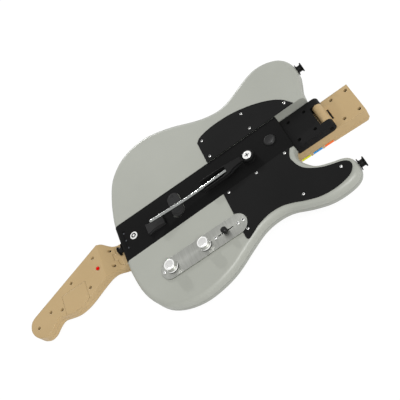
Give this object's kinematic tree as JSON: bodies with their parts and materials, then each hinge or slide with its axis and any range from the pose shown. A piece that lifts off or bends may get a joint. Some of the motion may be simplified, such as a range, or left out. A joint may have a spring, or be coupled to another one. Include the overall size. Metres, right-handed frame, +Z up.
{
  "type": "folding guitar-shaped game controller",
  "caption": "Full-size guitar-shaped game controller folded for storage: slab body with strum bar, whammy bar and knobs, neck folded under it on a clevis hinge.",
  "frame": {"origin": "middle of the whole folded object's box, on the surface that the neck's fret face lies on", "axes": "+Z up out of the body's face, +X along the neck from the headstock's tip towards the hinge, +Y towards the bass side"},
  "size_m": [0.6158, 0.3262, 0.0602],
  "materials": {
    "body_shell": "moulded ABS, satin",
    "back_shell": "moulded ABS, satin, a shade greyer",
    "strip_plastic": "moulded ABS, fine matt grain",
    "guard_plastic": "moulded ABS, satin",
    "brushed_plate": "brushed across its length",
    "switch_metal": "plain plated",
    "switch_plastic": "moulded",
    "screw_steel": "bright plated",
    "light_lens": "unlit smoked lens",
    "circuit_board": "solder-masked board",
    "black_plastic": "moulded, satin",
    "button_plastic": "moulded, satin, dark grey",
    "dark_screw": "black oxide",
    "white_plastic": "moulded, glossy",
    "bright_screw": "polished",
    "knob_metal": "turned, satin",
    "chrome_rod": "polished",
    "tan_plastic": "moulded ABS, satin",
    "tan_screws": "dull, in deep holes",
    "silicone": "moulded silicone",
    "battery_wrap": "shrink film",
    "red_lens": "clear-coated red",
    "green_pad": "moulded",
    "red_pad": "moulded",
    "yellow_pad": "moulded",
    "blue_pad": "moulded",
    "orange_pad": "moulded"
  },
  "bodies": {
    "guitar_body": {"top_shell": "body_shell", "back_shell": "back_shell", "centre_strip": "strip_plastic", "bass_pickguard": "guard_plastic", "treble_pickguard": "guard_plastic", "control_plate": "brushed_plate", "volume_pot": "switch_metal", "tone_pot": "switch_metal", "selector_switch": "switch_plastic", "plate_screws": "bright_screw", "pickguard_screws": "bright_screw", "shell_screws": "screw_steel", "light_window": "light_lens", "main_board": "circuit_board", "strum_switches": "switch_plastic", "strum_axle": "screw_steel", "whammy_base": "black_plastic", "heel_block": "black_plastic", "heel_screws": "dark_screw", "hinge_pin": "dark_screw", "tail_strap_button": "black_plastic", "horn_strap_button": "black_plastic", "shoulder_strap_button": "black_plastic", "strap_screws": "screw_steel"},
    "home_button": {"home_button": "white_plastic"},
    "round_button": {"round_button": "button_plastic"},
    "rocker": {"rocker_pad": "button_plastic"},
    "strum": {"strum_bar": "button_plastic"},
    "volume_knob": {"volume_knob": "knob_metal"},
    "tone_knob": {"tone_knob": "knob_metal"},
    "selector": {"selector_lever": "switch_plastic"},
    "whammy_swivel": {"whammy_turret": "black_plastic", "whammy_cap": "bright_screw"},
    "whammy_bar": {"whammy_arm": "black_plastic", "whammy_rod": "chrome_rod"},
    "neck": {"neck_shell": "tan_plastic", "fretboard": "tan_plastic", "headstock_face": "tan_plastic", "neck_board": "circuit_board", "fret_mat": "silicone", "battery_pack": "battery_wrap", "battery_door": "tan_plastic", "power_light": "red_lens", "neck_screws": "tan_screws", "latch_keeper": "black_plastic", "slide_panel": "tan_plastic"},
    "low_green": {"low_green_pad": "green_pad"},
    "low_red": {"low_red_pad": "red_pad"},
    "low_yellow": {"low_yellow_pad": "yellow_pad"},
    "low_blue": {"low_blue_pad": "blue_pad"},
    "low_orange": {"low_orange_pad": "orange_pad"},
    "high_green": {"high_green_pad": "green_pad"},
    "high_red": {"high_red_pad": "red_pad"},
    "high_yellow": {"high_yellow_pad": "yellow_pad"},
    "high_blue": {"high_blue_pad": "blue_pad"},
    "high_orange": {"high_orange_pad": "orange_pad"}
  },
  "joints": [
    {"name": "home_press", "type": "slide", "parent": "guitar_body", "child": "home_button", "axis": [0.0309, 0, -0.9995], "range_m": [0, 0.0008], "stiffness_N_per_m": 400},
    {"name": "round_press", "type": "slide", "parent": "guitar_body", "child": "round_button", "axis": [0.0309, 0, -0.9995], "range_m": [0, 0.001], "stiffness_N_per_m": 400},
    {"name": "rocker_tilt", "type": "hinge", "parent": "guitar_body", "child": "rocker", "pos_m": [-0.00474, -0.00043, 0.04288], "axis": [0.9995, 0, 0.0309], "range_deg": [-2, 2], "stiffness_Nm_per_rad": 0.3},
    {"name": "strum_rock", "type": "hinge", "parent": "guitar_body", "child": "strum", "pos_m": [-0.04611, -0.01093, 0.038], "axis": [0.9995, 0, 0.0309], "range_deg": [-6, 6], "stiffness_Nm_per_rad": 0.4},
    {"name": "volume_turn", "type": "hinge", "parent": "guitar_body", "child": "volume_knob", "pos_m": [0.012, -0.09583, 0.0514], "axis": [-0.0309, 0, 0.9995], "range_deg": [-150, 150]},
    {"name": "tone_turn", "type": "hinge", "parent": "guitar_body", "child": "tone_knob", "pos_m": [-0.04697, -0.09583, 0.04958], "axis": [-0.0309, 0, 0.9995], "range_deg": [-150, 150]},
    {"name": "selector_throw", "type": "hinge", "parent": "guitar_body", "child": "selector", "pos_m": [0.04742, -0.09583, 0.03848], "axis": [0, 1, 0], "range_deg": [-11, 11]},
    {"name": "whammy_turn", "type": "hinge", "parent": "guitar_body", "child": "whammy_swivel", "pos_m": [0.1291, -0.00803, 0.05001], "axis": [-0.0309, 0, 0.9995], "range_deg": [-170, 20]},
    {"name": "whammy_lift", "type": "hinge", "parent": "whammy_swivel", "child": "whammy_bar", "pos_m": [0.12394, -0.00803, 0.05506], "axis": [0, 1, 0], "range_deg": [0, 8], "stiffness_Nm_per_rad": 1.5},
    {"name": "neck_fold", "type": "hinge", "parent": "guitar_body", "child": "neck", "pos_m": [0.25222, -0.00243, 0.03196], "axis": [0, -1, 0], "range_deg": [0, 179]},
    {"name": "low_green_press", "type": "slide", "parent": "neck", "child": "low_green", "axis": [-0.0134, 0, 0.9999], "range_m": [0, 0.0009], "stiffness_N_per_m": 300},
    {"name": "low_red_press", "type": "slide", "parent": "neck", "child": "low_red", "axis": [-0.0134, 0, 0.9999], "range_m": [0, 0.0009], "stiffness_N_per_m": 300},
    {"name": "low_yellow_press", "type": "slide", "parent": "neck", "child": "low_yellow", "axis": [-0.0134, 0, 0.9999], "range_m": [0, 0.0009], "stiffness_N_per_m": 300},
    {"name": "low_blue_press", "type": "slide", "parent": "neck", "child": "low_blue", "axis": [-0.0134, 0, 0.9999], "range_m": [0, 0.0009], "stiffness_N_per_m": 300},
    {"name": "low_orange_press", "type": "slide", "parent": "neck", "child": "low_orange", "axis": [-0.0134, 0, 0.9999], "range_m": [0, 0.0009], "stiffness_N_per_m": 300},
    {"name": "high_green_press", "type": "slide", "parent": "neck", "child": "high_green", "axis": [-0.0134, 0, 0.9999], "range_m": [0, 0.0009], "stiffness_N_per_m": 300},
    {"name": "high_red_press", "type": "slide", "parent": "neck", "child": "high_red", "axis": [-0.0134, 0, 0.9999], "range_m": [0, 0.0009], "stiffness_N_per_m": 300},
    {"name": "high_yellow_press", "type": "slide", "parent": "neck", "child": "high_yellow", "axis": [-0.0134, 0, 0.9999], "range_m": [0, 0.0009], "stiffness_N_per_m": 300},
    {"name": "high_blue_press", "type": "slide", "parent": "neck", "child": "high_blue", "axis": [-0.0134, 0, 0.9999], "range_m": [0, 0.0009], "stiffness_N_per_m": 300},
    {"name": "high_orange_press", "type": "slide", "parent": "neck", "child": "high_orange", "axis": [-0.0134, 0, 0.9999], "range_m": [0, 0.0009], "stiffness_N_per_m": 300}
  ]
}
